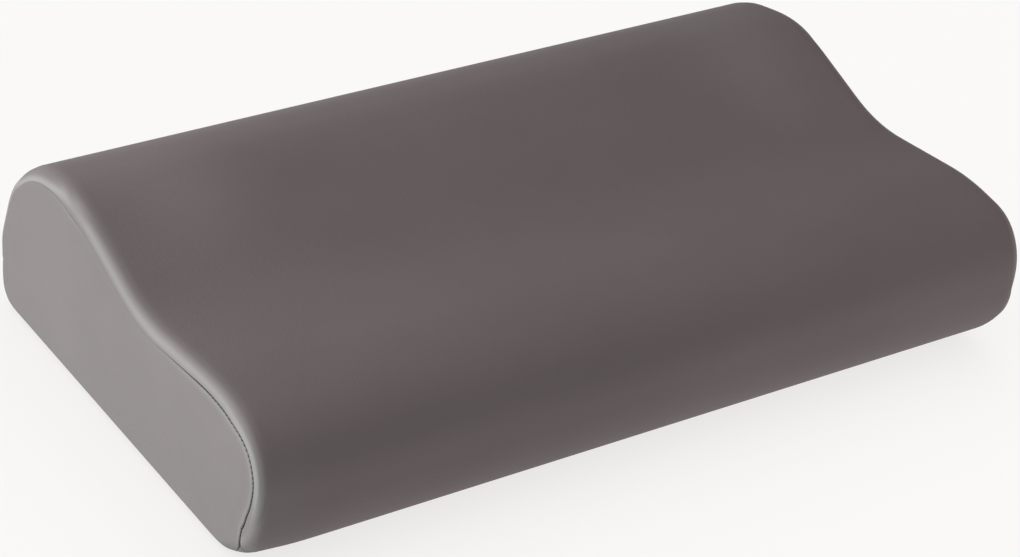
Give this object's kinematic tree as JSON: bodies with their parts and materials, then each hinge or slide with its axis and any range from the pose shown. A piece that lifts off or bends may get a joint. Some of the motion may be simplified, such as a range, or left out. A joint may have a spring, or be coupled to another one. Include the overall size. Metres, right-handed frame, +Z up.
{
  "type": "contour bed pillow",
  "caption": "Contour foam bed pillow with a tall back lobe, a low front lobe and a shallow valley, in a smooth zipped fabric cover sewn from four panels.",
  "frame": {"origin": "middle of the pillow's underside, on the surface that it rests on", "axes": "+X along the pillow's length, -Y towards the low front lobe, +Y towards the tall back lobe and the zip, +Z up"},
  "size_m": [0.501, 0.3209, 0.12],
  "materials": {
    "cover_fabric": "matte",
    "cover_thread": "matte",
    "foam": "matte",
    "liner_jersey": "matte",
    "liner_thread": "matte",
    "zip_tape": "matte",
    "zip_coil": "satin",
    "zip_metal": "satin",
    "label_satin": "satin"
  },
  "bodies": {
    "root": {"foam_core": "foam", "liner_wrap": "liner_jersey", "liner_end_left": "liner_jersey", "liner_end_right": "liner_jersey", "liner_thread_left": "liner_thread", "liner_thread_right": "liner_thread", "cover_top_panel": "cover_fabric", "cover_bottom_panel": "cover_fabric", "cover_left_end_panel": "cover_fabric", "cover_right_end_panel": "cover_fabric", "left_end_seam_thread": "cover_thread", "right_end_seam_thread": "cover_thread", "front_seam_thread": "cover_thread", "back_seam_thread": "cover_thread", "zip_tape_upper": "zip_tape", "zip_tape_lower": "zip_tape", "zip_coil_upper": "zip_coil", "zip_coil_lower": "zip_coil", "zip_stitching_upper": "cover_thread", "zip_stitching_lower": "cover_thread", "zip_bar_tacks": "cover_thread", "zip_top_stops": "zip_metal", "zip_bottom_stop": "zip_metal", "care_label": "label_satin"},
    "zip_slider": {"zip_slider_body": "zip_metal"},
    "zip_pull": {"zip_pull_tab": "zip_metal"}
  },
  "joints": [
    {"name": "zip_slide", "type": "slide", "parent": "root", "child": "zip_slider", "axis": [-1, 0, 0], "range_m": [0, 0.43]},
    {"name": "pull_tab_swing", "type": "hinge", "parent": "zip_slider", "child": "zip_pull", "pos_m": [0.215, 0.1609, 0.03], "axis": [0, 0, -1], "range_deg": [0, 180]}
  ]
}
